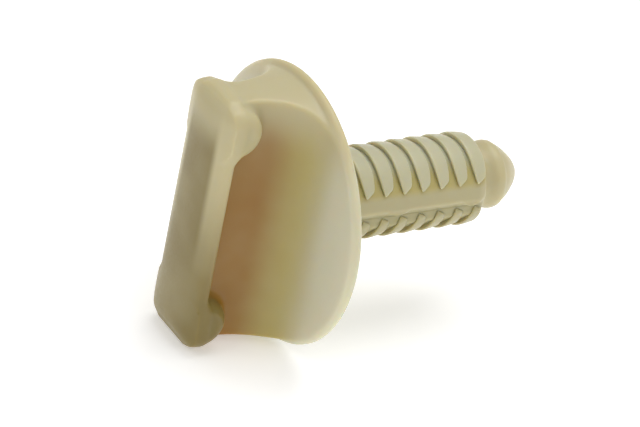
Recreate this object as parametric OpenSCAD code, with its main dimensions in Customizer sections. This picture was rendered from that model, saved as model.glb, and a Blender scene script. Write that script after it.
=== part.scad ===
// Push-in wall anchor, one nylon moulding: a barbed shank, a round flange that
// stops against the wall, and a T-shaped head on a flat neck for a keyhole slot.
// The shank's axis is X, from the head at -X to the nose at +X. The head bar
// stands along Z. The origin is the centre of the flange's wall-side face.

/* [Head] */
// Length of the head bar, end to end
bar_length = 28.4; // [27:0.1:28.8]
// Width of the head bar
bar_width = 8.8; // [7:0.1:10]
// Thickness of the bar at its long edges
bar_edge = 1.0; // [0.8:0.1:1.5]
// Height of the bar's outer bulge above its edges
bar_bulge = 1.1; // [0.6:0.1:1.5]
// Radius that rounds the bar's two ends
bar_end_radius = 2.8; // [2.2:0.1:4]
// Radius of the bar's four corners, seen from in front
bar_corner = 2.2; // [1:0.1:3]
// Radius of a retaining nub
nub_radius = 2.65; // [2:0.05:3]
// Height of a nub's centre above or below the shank's axis
nub_height = 11.2; // [10:0.1:11.4]
// How far the nubs stand off the bar, towards the flange
nub_reach = 2.8; // [2:0.1:3]

/* [Neck and flange] */
// Distance from the flange's wall-side face to the bar's inner face
bar_standoff = 10.0; // [9:0.1:12]
// Thickness of the neck's web
web_thickness = 4.0; // [3:0.1:5]
// Half the height of the neck's web
web_reach = 14.2; // [12:0.1:14.2]
// Radius of the fillet between the web and the flange
foot_fillet = 4.0; // [2:0.1:5]
// Radius of the fillet between the web and the bar
bar_fillet = 0.6; // [0.3:0.1:1]
// Radius of the flange
flange_radius = 14.7; // [14.7:0.1:16]
// Thickness of the flange at its rim
flange_rim = 1.0; // [0.8:0.1:1.2]
// Height of the crown in the middle of the flange
flange_crown = 0.6; // [0.3:0.1:1]

/* [Shank] */
// Radius of the barbed shank, over the barbs
barb_radius = 5.0; // [4.8:0.1:5.5]
// Half the height of the spine between the upper and the lower barbs
spine_height = 3.45; // [3.2:0.05:3.6]
// Height of the plain strip's upper edge above the shank's axis
strip_height = 1.75; // [1.5:0.05:2.2]
// Half the width of the shank at the parting ridge
ridge_reach = 4.9; // [4.7:0.05:4.95]
// Height of the parting ridge above the shank's axis
ridge_level = 0.35; // [0:0.05:0.5]
// Half the width of the shank at the upper edge of the strip
strip_reach = 4.35; // [4.2:0.05:4.6]
// How far below the shank's axis the lower barbs start
lower_strip = 0.4; // [0.4:0.05:1.2]
// Half the width of the shank between the lower barbs
lower_reach = 4.25; // [4.1:0.05:4.3]
// Distance from the wall-side face to the rim of the first barb
first_barb = 6.0; // [5:0.1:7]
// Distance from one barb to the next
barb_pitch = 2.25; // [2.2:0.05:2.4]
// Length of a barb along the shank
barb_length = 1.85; // [1.7:0.05:1.9]
// Radius of a barb where its ramp ends
ramp_radius = 4.5; // [3.8:0.05:4.6]
// How far a barb's steep face leans towards the head
barb_lean = 0.35; // [0.2:0.05:0.4]
// Clearance under a barb, so that it can flex
flex_gap = 0.09; // [0.08:0.01:0.12]

/* [Nose] */
// Distance from the wall-side face to the tip
tip_reach = 27.7; // [27:0.1:30]
// Largest radius of the nose
nose_radius = 3.85; // [3.4:0.05:3.9]
// Radius of the neck behind the nose
nose_neck = 3.2; // [2.8:0.1:3.3]
// Half angle of the nose's cone
nose_angle = 42; // [35:1:45]
// Radius of the blunt tip
tip_radius = 1.6; // [1:0.1:1.8]
// Radius that rounds the nose's shoulder
shoulder_radius = 1.2; // [0.8:0.1:1.3]

/* [Hidden] */
$fn = 96;
BARBS = 7;
SLACK = 1;                       // spare length on a cutting solid
bar_inner = -bar_standoff;
bar_outer = bar_inner - bar_edge - bar_bulge;
bulge_radius = (pow(bar_width / 2, 2) + pow(bar_bulge, 2)) / (2 * bar_bulge);
nub_rounding = 1.2;
flange_front = -(flange_rim + flange_crown);
crown_base = flange_radius - flange_rim / 2;
crown_radius = (pow(crown_base, 2) + pow(flange_crown, 2)) / (2 * flange_crown);
recess_radius = 5.6;             // shallow recess round the shank's root
recess_depth = 0.4;
collar_length = 4.6;             // plain round collar at the shank's root
collar_radius = 4.8;
spine_rise = spine_height - strip_height;
spine_radius = (pow(strip_reach, 2) + pow(spine_rise, 2)) / (2 * spine_rise);
last_barb = first_barb + (BARBS - 1) * barb_pitch;
spine_end = last_barb + barb_length + 0.25;
spine_chamfer = 0.6;             // length of the taper at the spine's end
spine_end_radius = 4.1;          // radius where that taper ends
lobe_radius = 1.2;               // small lobes that hang from the parting ridge
lobe_gap = 0.1;                  // height of a lobe's bottom above the strip's lower edge
lobes = [10.5, 19.5];            // their distances from the wall face
rim_land = 0.2;                  // flat land on a barb's rim
ring_root = 1;                   // radius at which a barb's ring starts
tip_centre = tip_reach - tip_radius;
cone_end = [tip_radius * cos(nose_angle), tip_centre + tip_radius * sin(nose_angle)];
shoulder_level = nose_radius - shoulder_radius;
cone_start_r = shoulder_level + shoulder_radius * cos(nose_angle);
cone_start_x = cone_end[1] - (cone_start_r - cone_end[0]) / tan(nose_angle);
shoulder_x = cone_start_x - shoulder_radius * sin(nose_angle);

// Turns a profile of [radius, distance along +X] round the shank's axis.
module turned() {
    rotate([0, 90, 0])
        rotate_extrude()
            children();
}

// Extrudes a section drawn in Y and Z along +X.
module along_x(length) {
    rotate([90, 0, 90])
        linear_extrude(length)
            children();
}

// Extrudes a profile drawn in X and Z along Y, centred.
module along_y(length) {
    rotate([90, 0, 0])
        linear_extrude(length, center = true)
            children();
}

// The bar's section in X and Y: flat inside, bulged outside.
module bar_section() {
    intersection() {
        translate([bar_outer, -bar_width / 2])
            square([bar_inner - bar_outer, bar_width]);
        translate([bar_outer + bulge_radius, 0])
            circle(bulge_radius);
    }
}

// The bar's profile in X and Z: its outer corners are rounded at both ends.
module bar_profile() {
    corner_x = bar_outer + bar_end_radius;
    corner_z = bar_length / 2 - bar_end_radius;
    intersection() {
        translate([bar_outer, -bar_length / 2])
            square([bar_inner - bar_outer, bar_length]);
        union() {
            translate([bar_outer, -corner_z])
                square([bar_end_radius * 2, corner_z * 2]);
            for (side = [-1, 1])
                translate([corner_x, side * corner_z])
                    circle(bar_end_radius);
        }
    }
}

// The bar's outline in Y and Z: a rectangle with round corners.
module bar_outline() {
    corner_y = bar_width / 2 - bar_corner;
    corner_z = bar_length / 2 - bar_corner;
    square([2 * corner_y, bar_length], center = true);
    square([bar_width, 2 * corner_z], center = true);
    for (across = [-1, 1])
        for (up = [-1, 1])
            translate([across * corner_y, up * corner_z])
                circle(bar_corner);
}

module head_bar() {
    color("#b5ab84")
        intersection() {
            linear_extrude(bar_length, center = true)
                bar_section();
            along_y(bar_width + SLACK)
                bar_profile();
            translate([bar_outer - SLACK, 0, 0])
                along_x(bar_inner - bar_outer + 2 * SLACK)
                    bar_outline();
        }
}

// A lobe in a corner of the head: a disc with one rounded edge, flush with the
// bar's long side and cut off where it meets the bar and the web.
module nub_solid() {
    centre_x = bar_inner + nub_reach - nub_radius;
    difference() {
        translate([centre_x, -bar_width / 2, nub_height])
            rotate([-90, 0, 0])
                rotate_extrude()
                    union() {
                        translate([0, nub_rounding])
                            square([nub_radius, bar_width / 2 - nub_rounding]);
                        square([nub_radius - nub_rounding, bar_width / 2]);
                        translate([nub_radius - nub_rounding, nub_rounding])
                            circle(nub_rounding);
                    }
        translate([bar_inner - 2 * nub_radius, -bar_width, 0])
            cube([2 * nub_radius, 2 * bar_width, bar_length]);
        web_block();
    }
}

module nub(side, top) {
    color("#c4bc97")
        mirror([0, side > 0 ? 1 : 0, 0])
            mirror([0, 0, top > 0 ? 0 : 1])
                nub_solid();
}

// A fillet's corner piece, between a wall at x and the web's side.
module fillet_corner(x, toward, radius) {
    half = web_thickness / 2;
    difference() {
        translate([min(x, x + toward * radius), -half - radius])
            square([radius, 2 * (half + radius)]);
        for (side = [-1, 1])
            translate([x + toward * radius, side * (half + radius)])
                circle(radius);
    }
}

// The neck before the flange is taken out of it.
module web_block() {
    intersection() {
        linear_extrude(2 * web_reach, center = true) {
            translate([bar_inner, -web_thickness / 2])
                square([-bar_inner, web_thickness]);
            fillet_corner(bar_inner, 1, bar_fillet);
            fillet_corner(flange_front, -1, foot_fillet);
            translate([flange_front, -web_thickness / 2 - foot_fillet])
                square([-flange_front, web_thickness + 2 * foot_fillet]);
        }
        translate([bar_inner, 0, 0])
            rotate([0, 90, 0])
                cylinder(r = web_reach, h = -bar_inner);
    }
}

module neck_web() {
    color("#a98c4c")
        difference() {
            web_block();
            flange_blank();
        }
}

// The flange without its recess: a round rim and a slightly crowned front.
module flange_blank() {
    turned()
        union() {
            intersection() {
                translate([0, flange_front])
                    square([crown_base, -flange_front]);
                translate([0, flange_front + crown_radius])
                    circle(crown_radius, $fn = 360);
            }
            translate([crown_base, -flange_rim / 2])
                intersection() {
                    circle(flange_rim / 2);
                    translate([0, -flange_rim])
                        square(2 * flange_rim);
                }
        }
}

module flange_disc() {
    color("#c6c6ac")
        difference() {
            flange_blank();
            translate([-recess_depth, 0, 0])
                rotate([0, 90, 0])
                    cylinder(r = recess_radius, h = recess_depth + SLACK);
        }
}

// The spine's section in Y and Z: an arc above, an arc below, and on each side
// a strip that widens down to the parting ridge and is undercut below it.
module spine_section() {
    intersection() {
        translate([0, spine_height - spine_radius])
            circle(spine_radius);
        translate([0, spine_radius - spine_height])
            circle(spine_radius);
        polygon([[ridge_reach, ridge_level], [strip_reach, strip_height],
                 [strip_reach, spine_height], [-strip_reach, spine_height],
                 [-strip_reach, strip_height], [-ridge_reach, ridge_level],
                 [-lower_reach, -lower_strip], [-lower_reach, -spine_height],
                 [lower_reach, -spine_height], [lower_reach, -lower_strip]]);
    }
}

// A lobe on each side: the bottom of a disc that fills the undercut.
module lobe_solid() {
    intersection() {
        translate([0, 0, lobe_radius - lower_strip + lobe_gap])
            rotate([90, 0, 0])
                cylinder(r = lobe_radius, h = 2 * ridge_reach, center = true);
        translate([-lobe_radius, -ridge_reach, -lower_strip])
            cube([2 * lobe_radius, 2 * ridge_reach, lower_strip + ridge_level]);
    }
}

module shank_core() {
    color("#b9ac7c")
        union() {
            translate([-recess_depth, 0, 0])
                rotate([0, 90, 0])
                    cylinder(r = collar_radius, h = recess_depth + collar_length);
            intersection() {
                union() {
                    along_x(spine_end)
                        spine_section();
                    for (lobe_x = lobes)
                        translate([lobe_x, 0, 0])
                            lobe_solid();
                }
                turned()
                    polygon([[0, 0], [barb_radius, 0],
                             [barb_radius, spine_end - spine_chamfer],
                             [spine_end_radius, spine_end], [0, spine_end]]);
            }
        }
}

module nose_tip() {
    color("#c0ad80")
        turned()
            union() {
                translate([0, spine_end])
                    square([nose_neck, shoulder_x - spine_end]);
                translate([shoulder_level, shoulder_x])
                    circle(shoulder_radius);
                polygon([[0, shoulder_x - shoulder_radius],
                         [shoulder_level, shoulder_x - shoulder_radius],
                         [cone_start_r, cone_start_x], [cone_end[0], cone_end[1]],
                         [0, cone_end[1]]]);
                intersection() {
                    translate([0, tip_centre])
                        circle(tip_radius);
                    translate([0, tip_centre])
                        square(2 * tip_radius);
                }
            }
}

// One barb, above the shank: part of a saw-tooth ring, cut to fit the spine,
// whose sides stand at the given half width, and ending at its foot.
module barb_solid(rim_x, foot, side) {
    difference() {
        intersection() {
            turned()
                polygon([[ring_root, rim_x + barb_lean], [barb_radius, rim_x],
                         [barb_radius, rim_x + rim_land],
                         [ramp_radius, rim_x + barb_length],
                         [ring_root, rim_x + barb_length]]);
            translate([rim_x - SLACK, -barb_radius - SLACK, foot + flex_gap])
                cube([barb_length + 2 * SLACK, 2 * (barb_radius + SLACK), barb_radius]);
        }
        intersection() {
            translate([rim_x - SLACK, 0, spine_height - spine_radius])
                rotate([0, 90, 0])
                    cylinder(r = spine_radius + flex_gap, h = barb_length + 2 * SLACK);
            translate([rim_x - SLACK, -side - flex_gap, -barb_radius])
                cube([barb_length + 2 * SLACK, 2 * (side + flex_gap), 2 * barb_radius]);
        }
    }
}

module upper_barb(number) {
    color("#ccc8a4")
        barb_solid(first_barb + (number - 1) * barb_pitch, strip_height, strip_reach);
}

module lower_barb(number) {
    color("#a9a06c")
        mirror([0, 0, 1])
            barb_solid(first_barb + (number - 1) * barb_pitch, lower_strip, lower_reach);
}

head_bar();
nub(1, 1);  // nub_upper_left
nub(-1, 1);  // nub_upper_right
nub(1, -1);  // nub_lower_left
nub(-1, -1);  // nub_lower_right
neck_web();
flange_disc();
shank_core();
nose_tip();
for (number = [1:BARBS]) {
    upper_barb(number);
    lower_barb(number);
}
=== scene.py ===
import bpy
import numpy as np
from mathutils import Matrix, Vector


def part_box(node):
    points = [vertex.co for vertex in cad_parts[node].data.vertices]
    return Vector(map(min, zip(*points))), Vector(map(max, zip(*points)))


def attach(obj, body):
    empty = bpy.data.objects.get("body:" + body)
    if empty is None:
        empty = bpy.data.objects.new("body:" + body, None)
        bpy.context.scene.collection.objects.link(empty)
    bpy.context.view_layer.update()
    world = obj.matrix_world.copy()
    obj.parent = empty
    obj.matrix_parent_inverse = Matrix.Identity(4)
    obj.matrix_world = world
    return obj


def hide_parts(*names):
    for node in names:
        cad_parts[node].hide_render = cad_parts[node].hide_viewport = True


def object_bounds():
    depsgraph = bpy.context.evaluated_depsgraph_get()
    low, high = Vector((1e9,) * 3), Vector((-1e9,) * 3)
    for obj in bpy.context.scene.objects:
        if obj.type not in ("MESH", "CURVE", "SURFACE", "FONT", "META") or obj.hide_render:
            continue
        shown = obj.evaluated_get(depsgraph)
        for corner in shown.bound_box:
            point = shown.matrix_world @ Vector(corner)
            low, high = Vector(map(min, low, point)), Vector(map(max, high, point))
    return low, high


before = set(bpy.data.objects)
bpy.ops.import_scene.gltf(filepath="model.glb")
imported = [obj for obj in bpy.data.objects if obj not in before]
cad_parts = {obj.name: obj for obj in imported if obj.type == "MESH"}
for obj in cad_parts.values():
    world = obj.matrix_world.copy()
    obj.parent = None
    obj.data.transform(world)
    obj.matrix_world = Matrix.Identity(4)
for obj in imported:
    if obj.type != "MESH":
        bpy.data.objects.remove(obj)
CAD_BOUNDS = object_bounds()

MM = 0.001
BARBS = 7


def span(node):
    """A CAD node's lowest and highest corners, in millimetres."""
    low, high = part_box(node)
    return np.array(low) / MM, np.array(high) / MM


# ---------------------------------------------------------------- sizes, from the frame
(BAR_OUTER, _, _), (BAR_INNER, BAR_HALF, BAR_TOP) = span("head_bar")
(_, NUB_SIDE, NUB_LOW), (NUB_END, _, NUB_HIGH) = span("nub_upper_left")
(_, _, _), (_, _, WEB_REACH) = span("neck_web")
(FLANGE_FRONT, _, _), (_, FLANGE_RADIUS, _) = span("flange_disc")
(SPINE_START, _, _), (SPINE_END, RIDGE, COLLAR) = span("shank_core")
(_, _, _), (TIP, NOSE, _) = span("nose_tip")

BAR_BULGE = 1.1
BAR_END = 2.8
BAR_CORNER = 2.6
WEB_HALF = 2.0
FOOT = 8.0
RIM = 1.0
RECESS = 5.6
SPINE_HEIGHT = 3.45
STRIP_HEIGHT = 1.75
STRIP_HALF = 4.35
LOWER_STRIP = 0.4                        # how far below the axis the lower claws start
RIDGE_LEVEL = 0.35                       # height of the parting ridge above the axis
LOWER_HALF = 4.5                         # half the spine's width between the lower claws
SADDLE = 4.4                             # radius of the spine between the upper claws
SPINE_RADIUS = (STRIP_HALF**2 + (SPINE_HEIGHT - STRIP_HEIGHT)**2) / (2 * (SPINE_HEIGHT - STRIP_HEIGHT))
SPINE_DROP = SPINE_RADIUS - SPINE_HEIGHT
COLLAR_END = 4.6
LOBES = ((10.5, 0.6), (19.5, 0.7))     # where the parting ridge dips, and how far
LOBE_RADIUS = 1.3
NOSE_ANGLE = np.radians(42)
NOSE_NECK = 3.2
SPINE_END_RADIUS = 4.2
SPINE_TAPER = 1.2                        # how fast that taper closes along the shank
TIP_RADIUS = 1.6
CLAW_ROOT = 0.45                         # how deep a claw is sunk into the spine
CLAW_POINT = 4.4                         # height from which a claw narrows

CAMERA_RIGHT = (0.857, -0.485, 0.177)    # direction
CAMERA_BACK = (-0.502, -0.701, 0.507)    # direction
CAMERA_AIM = (2.52, -2.42, -0.36)        # millimetres
CAMERA_DISTANCE = 0.443                  # metres
CAMERA_LENS = 244.7


# ---------------------------------------------------------------- field tools
def join(a, b, radius):
    """Union of two fields with a fillet between them."""
    near = np.clip(radius - np.abs(a - b), 0, None) / radius
    return np.minimum(a, b) - near * near * radius / 4


def trim(a, b, radius):
    """What two fields share, with the edge between them rounded."""
    return -join(-a, -b, radius)


def corner(a, b, radius):
    """A true round corner between two faces at right angles."""
    a, b = a + radius, b + radius
    return np.hypot(np.maximum(a, 0), np.maximum(b, 0)) + np.minimum(np.maximum(a, b), 0) - radius


# ---------------------------------------------------------------- the head's fields
def bar_field(x, y, z):
    """The T-bar: flat inside, bulged outside, with round ends."""
    bulge_radius = (BAR_HALF**2 + BAR_BULGE**2) / (2 * BAR_BULGE)
    bulge = np.hypot(x - BAR_OUTER - bulge_radius, y) - bulge_radius
    section = trim(bulge, np.abs(y) - BAR_HALF, 1.0)
    section = trim(section, x - BAR_INNER, 0.5)
    ends = corner(BAR_OUTER - x, np.abs(z) - BAR_TOP, BAR_END)
    outline = corner(np.abs(y) - BAR_HALF, np.abs(z) - BAR_TOP, BAR_CORNER)
    return trim(trim(section, ends, 0.5), outline, 0.5)


def nub_field(x, y, z):
    """The four lobes inside the bar's ends, as two that run through the web."""
    radius = (NUB_HIGH - NUB_LOW) / 2
    rounding = 1.3
    out = np.hypot(x - NUB_END + radius, np.abs(z) - (NUB_LOW + NUB_HIGH) / 2)
    return np.maximum(corner(out - radius, np.abs(y) - BAR_HALF, rounding), BAR_INNER - 0.8 - x)


def web_field(x, y, z):
    """The neck: a flat web that flares into the flange's crowned front."""
    web = np.maximum(np.abs(y) - WEB_HALF, BAR_INNER - 0.5 - x)
    flared = np.maximum(join(web, flange_crown(x, y, z), FOOT), x + RIM / 2)
    return trim(flared, np.hypot(y, z) - WEB_REACH, 0.35)


def flange_crown(x, y, z):
    """The slightly domed front of the flange, carried on past its rim."""
    level = FLANGE_RADIUS - RIM / 2
    rise = -FLANGE_FRONT - RIM
    crown_radius = (level**2 + rise**2) / (2 * rise)
    return np.sqrt((x - FLANGE_FRONT - crown_radius)**2 + y * y + z * z) - crown_radius


def flange_field(x, y, z):
    """The flange: a round rim, a crowned front and a shallow recess behind."""
    out = np.hypot(y, z)
    level = FLANGE_RADIUS - RIM / 2
    rim = np.hypot(np.maximum(out - level, 0), x + RIM / 2) - RIM / 2
    crown = np.maximum(np.maximum(flange_crown(x, y, z), x), out - level)
    recess = np.maximum(out - RECESS, SPINE_START - x)
    return np.maximum(np.minimum(rim, crown), -recess)


def head_field(x, y, z):
    head = join(flange_field(x, y, z), web_field(x, y, z), 0.5)
    head = np.maximum(head, np.hypot(y, z) - FLANGE_RADIUS)
    head = join(head, bar_field(x, y, z), 1.4)
    return join(head, nub_field(x, y, z), 1.1)


# ---------------------------------------------------------------- the shank's fields
def spine_field(x, y, z):
    """The spine between the barbs, with its parting ridges, lobes and collar."""
    arcs = np.hypot(y, np.abs(z) + SPINE_DROP) - SPINE_RADIUS
    dip = sum(depth * np.clip(1 - ((x - lobe_x) / LOBE_RADIUS)**2, 0, 1)
              for lobe_x, depth in LOBES)
    over = z - RIDGE_LEVEL
    above = RIDGE + (STRIP_HALF - RIDGE) * over / (STRIP_HEIGHT - RIDGE_LEVEL)
    undercut = np.clip((-over - dip) / (LOWER_STRIP + RIDGE_LEVEL - dip), 0, 1)
    below = RIDGE + (LOWER_HALF - RIDGE) * undercut
    strip = np.abs(y) - np.where(over > 0, above, below)
    out = np.hypot(y, z)
    arcs = join(arcs, out - SADDLE, 0.5)
    taper = (out + SPINE_TAPER * (x - SPINE_END) - SPINE_END_RADIUS) / np.hypot(1, SPINE_TAPER)
    spine = np.maximum(trim(arcs, strip, 0.15), -x)
    spine = trim(trim(spine, x - SPINE_END, 0.4), taper, 0.8)
    collar = trim(out - COLLAR, x - COLLAR_END, 0.6)
    return np.maximum(join(spine, collar, 0.4), SPINE_START - x)


def nose_field(x, y, z):
    """The nose: a neck, a round shoulder and a blunt cone."""
    out = np.hypot(y, z)
    cone = (out * np.cos(NOSE_ANGLE) + (x - TIP + TIP_RADIUS) * np.sin(NOSE_ANGLE)) - TIP_RADIUS
    bulb_back = SPINE_END + 1.35
    bulb = trim(out - NOSE, cone, 1.3)
    bulb = corner(bulb, bulb_back - x, 1.2)
    bulb = trim(bulb, x - TIP, TIP_RADIUS)
    neck = np.maximum(out - NOSE_NECK, np.maximum(SPINE_END - 1 - x, x - bulb_back - 1))
    return join(bulb, neck, 0.7)


def shank_field(x, y, z):
    return join(spine_field(x, y, z), nose_field(x, y, z), 0.5)


def barb_field(low, high, half, fade):
    """One upper barb: a claw that narrows downwards to a slanted tip.

    The spine's side is half from the middle. Where fade isn't 0, the claw's side
    sinks into the spine over that height above its foot."""
    rim_x, rim, foot = low[0], high[2], low[2]
    length, lean, land, tail, root = high[0] - low[0], 0.3, 0.2, 4.7, 3.4
    slant, shift, narrowing = 0.5, 0.45, 0.85

    def field(x, y, z):
        out = np.hypot(y, z)
        point = np.clip((CLAW_POINT - z) / (CLAW_POINT - foot), 0, 1)**2
        steep_x = rim_x + shift * point
        run = length - land - narrowing * point
        steep = -((x - steep_x) * (rim - root) + (out - rim) * lean) / np.hypot(rim - root, lean)
        ramp = ((x - steep_x - land) * (rim - tail) + (out - rim) * run) / np.hypot(rim - tail, run)
        claw = trim(trim(out - rim, steep, 0.26), ramp, 0.3)
        claw = trim(claw, x - steep_x - land - run, 0.25)
        claw = trim(claw, (foot + slant * (x - rim_x - shift) - z) / np.hypot(1, slant), 0.2)
        if fade:
            side = half + 0.1 + (rim - half) * np.clip((z - foot) / fade, 0, 1)
            claw = trim(claw, np.abs(y) - side, 0.2)
        buried = np.maximum(np.hypot(y, z + SPINE_DROP) - SPINE_RADIUS + CLAW_ROOT,
                            np.abs(y) - half + 0.3)
        return np.maximum(np.maximum(claw, -buried), foot - z)

    return field


# ---------------------------------------------------------------- from a field to a mesh
def pulled(field, points, step):
    """The points moved towards the surface, by no more than half a step."""
    nudge = step * 0.05
    value = field(*points.T)
    slope = np.stack([(field(*(points + offset).T) - field(*(points - offset).T)) / (2 * nudge)
                      for offset in np.eye(3) * nudge], axis=1)
    size = np.maximum((slope**2).sum(axis=1), 0.25)
    move = slope * (value / size)[:, None]
    length = np.linalg.norm(move, axis=1)[:, None]
    return points - move * np.minimum(1, 0.5 * step / np.maximum(length, 1e-9))


def skin(field, low, high, step):
    """Points and quads of a field's surface: one point in each grid cell that it crosses."""
    start = np.array(low) - 2 * step
    axes = [np.arange(a, b + 2 * step, step) for a, b in zip(start, high)]
    inside = field(*np.meshgrid(*axes, indexing="ij")) < 0
    corners = sum(inside[i:inside.shape[0] - 1 + i, j:inside.shape[1] - 1 + j,
                         k:inside.shape[2] - 1 + k].astype(np.int8)
                  for i in (0, 1) for j in (0, 1) for k in (0, 1))
    crossed = (corners > 0) & (corners < 8)
    number = np.full(crossed.shape, -1)
    number[crossed] = np.arange(crossed.sum())
    points = (np.argwhere(crossed) + 0.5) * step + start
    for _ in range(4):
        points = pulled(field, points, step)
    quads = []
    for axis in range(3):
        one, two = np.eye(3, dtype=int)[(axis + 1) % 3], np.eye(3, dtype=int)[(axis + 2) % 3]
        here = np.take(inside, range(inside.shape[axis] - 1), axis)
        beyond = np.take(inside, range(1, inside.shape[axis]), axis)
        for leaving in (True, False):
            edge = np.argwhere((here == leaving) & (beyond != leaving))
            ring = [edge, edge - one, edge - one - two, edge - two]
            quad = np.stack([number[tuple(cells.T)] for cells in ring], axis=1)
            quads.append(quad if leaving else quad[:, ::-1])
    return points, np.concatenate(quads)


def piece(name, points, quads, material):
    """A smooth-shaded piece from points in millimetres."""
    mesh = bpy.data.meshes.new(name)
    mesh.from_pydata((points * MM).tolist(), [], quads.tolist())
    mesh.materials.append(material)
    mesh.shade_smooth()
    obj = bpy.data.objects.new(name, mesh)
    bpy.context.scene.collection.objects.link(obj)
    return obj


# ---------------------------------------------------------------- material
class Nodes:
    """Short calls for building one material's nodes."""

    def __init__(self, name):
        self.material = bpy.data.materials.new(name)
        self.material.use_nodes = True
        self.tree = self.material.node_tree
        self.shader = self.tree.nodes["Principled BSDF"]

    def add(self, kind, **inputs):
        node = self.tree.nodes.new("ShaderNode" + kind)
        for key, value in inputs.items():
            self.feed(node.inputs[key.replace("_", " ")], value)
        return node

    def feed(self, socket, value):
        if isinstance(value, bpy.types.NodeSocket):
            self.tree.links.new(value, socket)
        else:
            socket.default_value = value

    def math(self, operation, a, b=0.0):
        node = self.tree.nodes.new("ShaderNodeMath")
        node.operation = operation
        self.feed(node.inputs[0], a)
        self.feed(node.inputs[1], b)
        return node.outputs[0]

    def ease(self, value, start, end):
        """0 before start, 1 after end, and smooth between them."""
        node = self.add("MapRange", Value=value, From_Min=start, From_Max=end)
        node.interpolation_type = "SMOOTHSTEP"
        return node.outputs["Result"]

    def mix(self, factor, a, b):
        node = self.tree.nodes.new("ShaderNodeMix")
        node.data_type = "RGBA"
        self.feed(node.inputs["Factor"], factor)
        self.feed(node.inputs[6], a)
        self.feed(node.inputs[7], b)
        return node.outputs[2]

    def noise(self, place, scale, detail):
        return self.add("TexNoise", Vector=place, Scale=scale, Detail=detail).outputs["Fac"]


def tone(red, green, blue):
    """A colour given as 0 to 255 display values, as the linear one that shaders take."""
    scaled = np.array([red, green, blue]) / 255
    linear = np.where(scaled <= 0.04045, scaled / 12.92, ((scaled + 0.055) / 1.055)**2.4)
    return (*linear.tolist(), 1.0)


PALE = tone(208, 206, 180)      # thin rims, where light comes through
CLAW = tone(194, 191, 161)      # the claws
STRAW = tone(188, 180, 142)     # the shank's sides and nose
PAINTED_SHADE = tone(174, 166, 122)     # painted shade on the shank's and the claws' undersides, which face away from the lamps
CREAM = tone(196, 186, 146)     # middling thickness, and the painted light on the head's top and upper nubs
OLIVE = tone(184, 170, 104)     # grooves that light reaches
AMBER = tone(160, 118, 46)      # the thick root of the neck
DUSK = tone(131, 115, 60)       # the solid bar, and the painted shade on the lower nubs


def finish(nodes, colour, place, depth):
    """The nylon's surface: waxy, softly lit from within, with a faint moulded grain."""
    cloud = nodes.noise(place, 160.0, 2.0)
    mottled = nodes.mix(nodes.ease(cloud, 0.3, 0.8), colour, nodes.mix(0.2, colour, CREAM))
    shader = nodes.shader
    nodes.feed(shader.inputs["Base Color"], mottled)
    grain = nodes.noise(place, 2600.0, 3.0)
    nodes.feed(shader.inputs["Roughness"], nodes.add(
        "MapRange", Value=grain, From_Min=0.3, From_Max=0.7, To_Min=0.30, To_Max=0.42).outputs["Result"])
    bump = nodes.add("Bump", Strength=0.06, Distance=0.0001, Height=grain)
    nodes.feed(shader.inputs["Normal"], bump.outputs["Normal"])
    shader.inputs["Subsurface Weight"].default_value = 0.8
    shader.inputs["Subsurface Radius"].default_value = (1.0, 0.75, 0.4)
    shader.inputs["Subsurface Scale"].default_value = depth
    shader.inputs["IOR"].default_value = 1.53
    shader.inputs["Specular IOR Level"].default_value = 0.4
    return nodes.material


def head_nylon():
    """Olive-brown in the bar, amber at the neck's root and paling towards the rim, with painted light on
    the top and upper nubs and painted shade on the lower nubs.
    """
    nodes = Nodes("nylon_head")
    place = nodes.add("TexCoord").outputs["Object"]
    x, y, z = nodes.add("SeparateXYZ", Vector=place).outputs
    colour = nodes.mix(nodes.ease(x, -0.0104, -0.0096), DUSK, AMBER)
    colour = nodes.mix(nodes.ease(x, -0.0058, -0.0020), colour, OLIVE)
    side = nodes.math("ABSOLUTE", y)
    colour = nodes.mix(nodes.ease(side, 0.0048, 0.0100), colour, PALE)
    colour = nodes.mix(nodes.ease(x, -0.0014, -0.0008), colour, PALE)
    nub = nodes.math("MULTIPLY", nodes.ease(side, 0.0022, 0.0032), nodes.ease(x, -0.0066, -0.0078))
    # painted light and shade: the upper nubs paler and the lower nubs darker, as if lit from above
    colour = nodes.mix(nub, colour, nodes.mix(nodes.ease(z, -0.008, 0.008), DUSK, CREAM))
    # painted light: the head paler towards its top, as if lit from above
    colour = nodes.mix(nodes.ease(z, 0.0080, 0.0138), colour, CREAM)
    return finish(nodes, colour, place, 0.0016)


def shank_nylon():
    """Straw along the sides, olive in the flanks between the claws, paler on top, with painted shade on
    the underside.
    """
    nodes = Nodes("nylon_shank")
    place = nodes.add("TexCoord").outputs["Object"]
    x, y, z = nodes.add("SeparateXYZ", Vector=place).outputs
    height = nodes.math("ABSOLUTE", z)
    colour = nodes.mix(nodes.ease(height, 0.0014, 0.0022), STRAW, OLIVE)
    colour = nodes.mix(nodes.ease(height, 0.0028, 0.0042), colour, CLAW)
    # painted shade: the underside darker, as if it faced away from the lamps
    colour = nodes.mix(nodes.ease(z, 0.0004, -0.0004), colour, PAINTED_SHADE)
    colour = nodes.mix(nodes.ease(x, 0.0205, 0.0225), colour, CREAM)
    return finish(nodes, colour, place, 0.0010)


def barb_nylon():
    """Pale at a claw's rim and olive at its root, with painted shade on the lower claws."""
    nodes = Nodes("nylon_barb")
    place = nodes.add("TexCoord").outputs["Object"]
    x, y, z = nodes.add("SeparateXYZ", Vector=place).outputs
    squares = nodes.math("ADD", nodes.math("MULTIPLY", y, y), nodes.math("MULTIPLY", z, z))
    reach = nodes.math("SQRT", squares)
    colour = nodes.mix(nodes.ease(reach, 0.0034, 0.0042), OLIVE, CLAW)
    # painted shade: the lower claws darker, as if they faced away from the lamps
    colour = nodes.mix(nodes.ease(z, 0.0004, -0.0004), colour, PAINTED_SHADE)
    return finish(nodes, colour, place, 0.0008)


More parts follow.
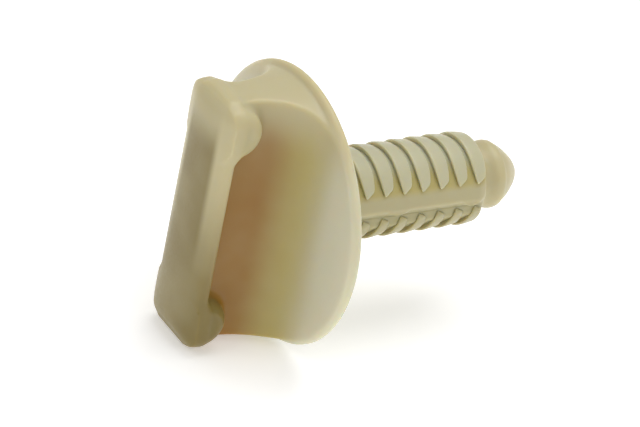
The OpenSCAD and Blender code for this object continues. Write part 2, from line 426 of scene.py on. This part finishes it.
# ---------------------------------------------------------------- stage, light and camera
def stage():
    floor = bpy.data.meshes.new("floor")
    half, level = 1.5, CAD_BOUNDS[0][2]
    floor.from_pydata([(-half, -half, level), (half, -half, level), (half, half, level),
                       (-half, half, level)], [], [(0, 1, 2, 3)])
    nodes = Nodes("paper")
    place = nodes.add("TexCoord").outputs["Object"]
    paper = nodes.mix(nodes.noise(place, 400.0, 2.0), (0.93, 0.93, 0.93, 1), (0.95, 0.95, 0.95, 1))
    nodes.feed(nodes.shader.inputs["Base Color"], paper)
    nodes.shader.inputs["Roughness"].default_value = 0.9
    nodes.shader.inputs["Specular IOR Level"].default_value = 0.0
    nodes.shader.inputs["Emission Color"].default_value = (1, 1, 1, 1)
    nodes.shader.inputs["Emission Strength"].default_value = 0.33
    floor.materials.append(nodes.material)
    obj = bpy.data.objects.new("floor", floor)
    bpy.context.scene.collection.objects.link(obj)


def softbox(name, place, size, watts):
    """A square light that looks at the object."""
    data = bpy.data.lights.new(name, "AREA")
    data.size, data.energy = size, watts
    obj = bpy.data.objects.new(name, data)
    obj.location = place
    obj.rotation_euler = (-Vector(place)).to_track_quat("-Z", "Y").to_euler()
    bpy.context.scene.collection.objects.link(obj)


def light():
    world = bpy.data.worlds.new("studio")
    world.use_nodes = True
    background = world.node_tree.nodes["Background"]
    background.inputs["Color"].default_value = (1, 1, 1, 1)
    background.inputs["Strength"].default_value = 0.45
    bpy.context.scene.world = world
    softbox("overhead", (0.10, 0.05, 0.40), 0.30, 0.85)
    softbox("side", (0.08, -0.36, 0.28), 0.26, 0.25)
    softbox("front", (-0.30, -0.02, 0.30), 0.20, 0.22)
    bpy.context.scene.view_settings.view_transform = "Standard"


def camera():
    """Looks down at the head's front left, rolled a little, from nearly half a metre."""
    data = bpy.data.cameras.new("camera")
    obj = bpy.data.objects.new("camera", data)
    bpy.context.scene.collection.objects.link(obj)
    right = Vector(CAMERA_RIGHT).normalized()
    back = Vector(CAMERA_BACK).normalized()
    back = (back - right * back.dot(right)).normalized()
    up = back.cross(right)
    aim = Vector(CAMERA_AIM) * MM
    turn = Matrix((right, up, back)).transposed().to_4x4()
    obj.matrix_world = Matrix.Translation(aim + back * CAMERA_DISTANCE) @ turn
    data.lens = CAMERA_LENS
    data.clip_start = 0.01
    bpy.context.scene.camera = obj


# ---------------------------------------------------------------- the object
def head():
    low = np.array([BAR_OUTER, -FLANGE_RADIUS, -FLANGE_RADIUS])
    high = np.array([0, FLANGE_RADIUS, FLANGE_RADIUS])
    points, quads = skin(head_field, low, high, 0.2)
    obj = piece("head_moulding", points, quads, head_nylon())
    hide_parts("head_bar", "nub_upper_left", "nub_upper_right", "nub_lower_left",
                "nub_lower_right", "neck_web", "flange_disc")
    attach(obj, "anchor")


def shank():
    low = np.array([SPINE_START, -RIDGE, -COLLAR])
    high = np.array([TIP, RIDGE, COLLAR])
    points, quads = skin(shank_field, low, high, 0.13)
    obj = piece("shank_moulding", points, quads, shank_nylon())
    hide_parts("shank_core", "nose_tip")
    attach(obj, "anchor")


def barbs():
    material = barb_nylon()
    for side, flip, half, fade in (("upper", 1, STRIP_HALF, 0), ("lower", -1, LOWER_HALF, 1.6)):
        low, high = np.sort(np.array(span(f"{side}_barb_1")) * (1, 1, flip), axis=0)
        points, quads = skin(barb_field(low, high, half, fade), low, high, 0.08)
        for number in range(1, BARBS + 1):
            node = f"{side}_barb_{number}"
            shift = span(node)[0][0] - low[0]
            placed = points * (1, 1, flip) + (shift, 0, 0)
            obj = piece(f"{node}_claw", placed, quads[:, ::flip], material)
            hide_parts(node)
            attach(obj, node)


camera()
light()
stage()
head()
shank()
barbs()
